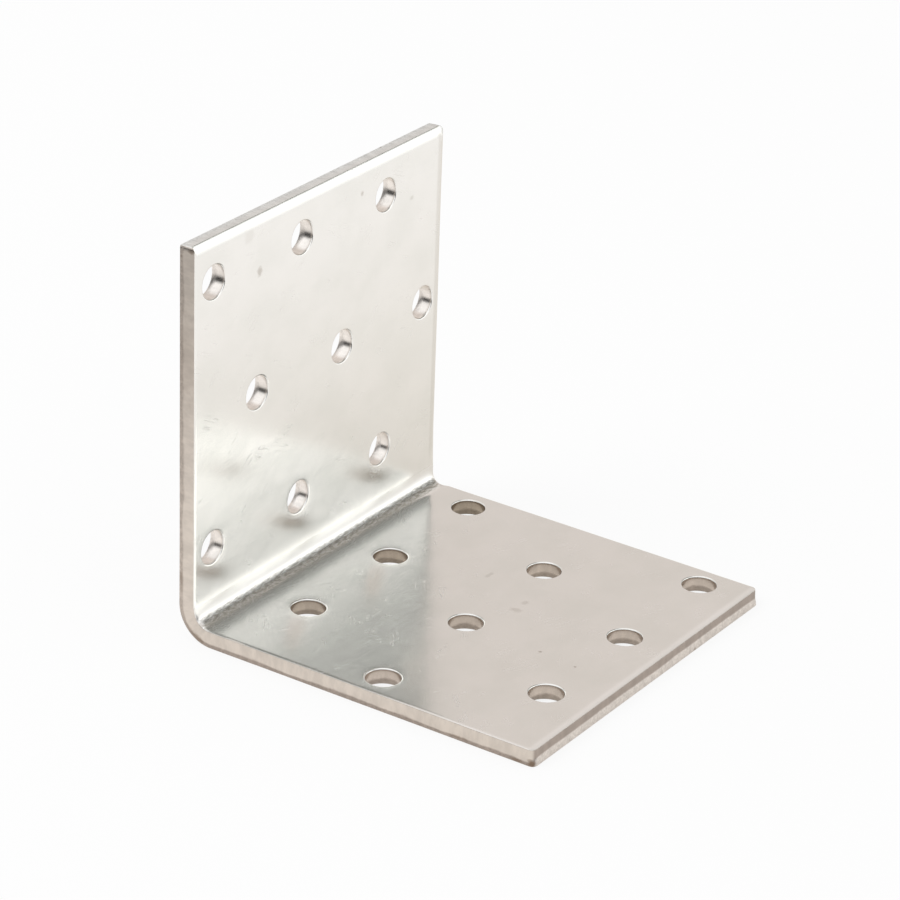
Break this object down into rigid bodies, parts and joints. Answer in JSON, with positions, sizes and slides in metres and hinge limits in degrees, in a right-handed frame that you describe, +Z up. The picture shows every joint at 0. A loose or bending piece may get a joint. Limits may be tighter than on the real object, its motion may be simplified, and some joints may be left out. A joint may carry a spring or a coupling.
{
  "type": "angle bracket",
  "caption": "Folded sheet steel angle bracket with equal legs and staggered rows of round punched holes for nails or screws in both legs.",
  "frame": {"origin": "middle of the flat leg's underside, midway between the outer face of the upright leg and the tip, and midway along the fold", "axes": "+Z up along the upright leg, +X along the flat leg from the fold to its tip, +Y along the fold"},
  "size_m": [0.06, 0.059, 0.06],
  "materials": {
    "zinc_steel": "bright zinc plating, satin, with rolling grain, light scratches and sheared edges"
  },
  "bodies": {
    "root": {"angle_bracket": "zinc_steel"}
  },
  "joints": []
}
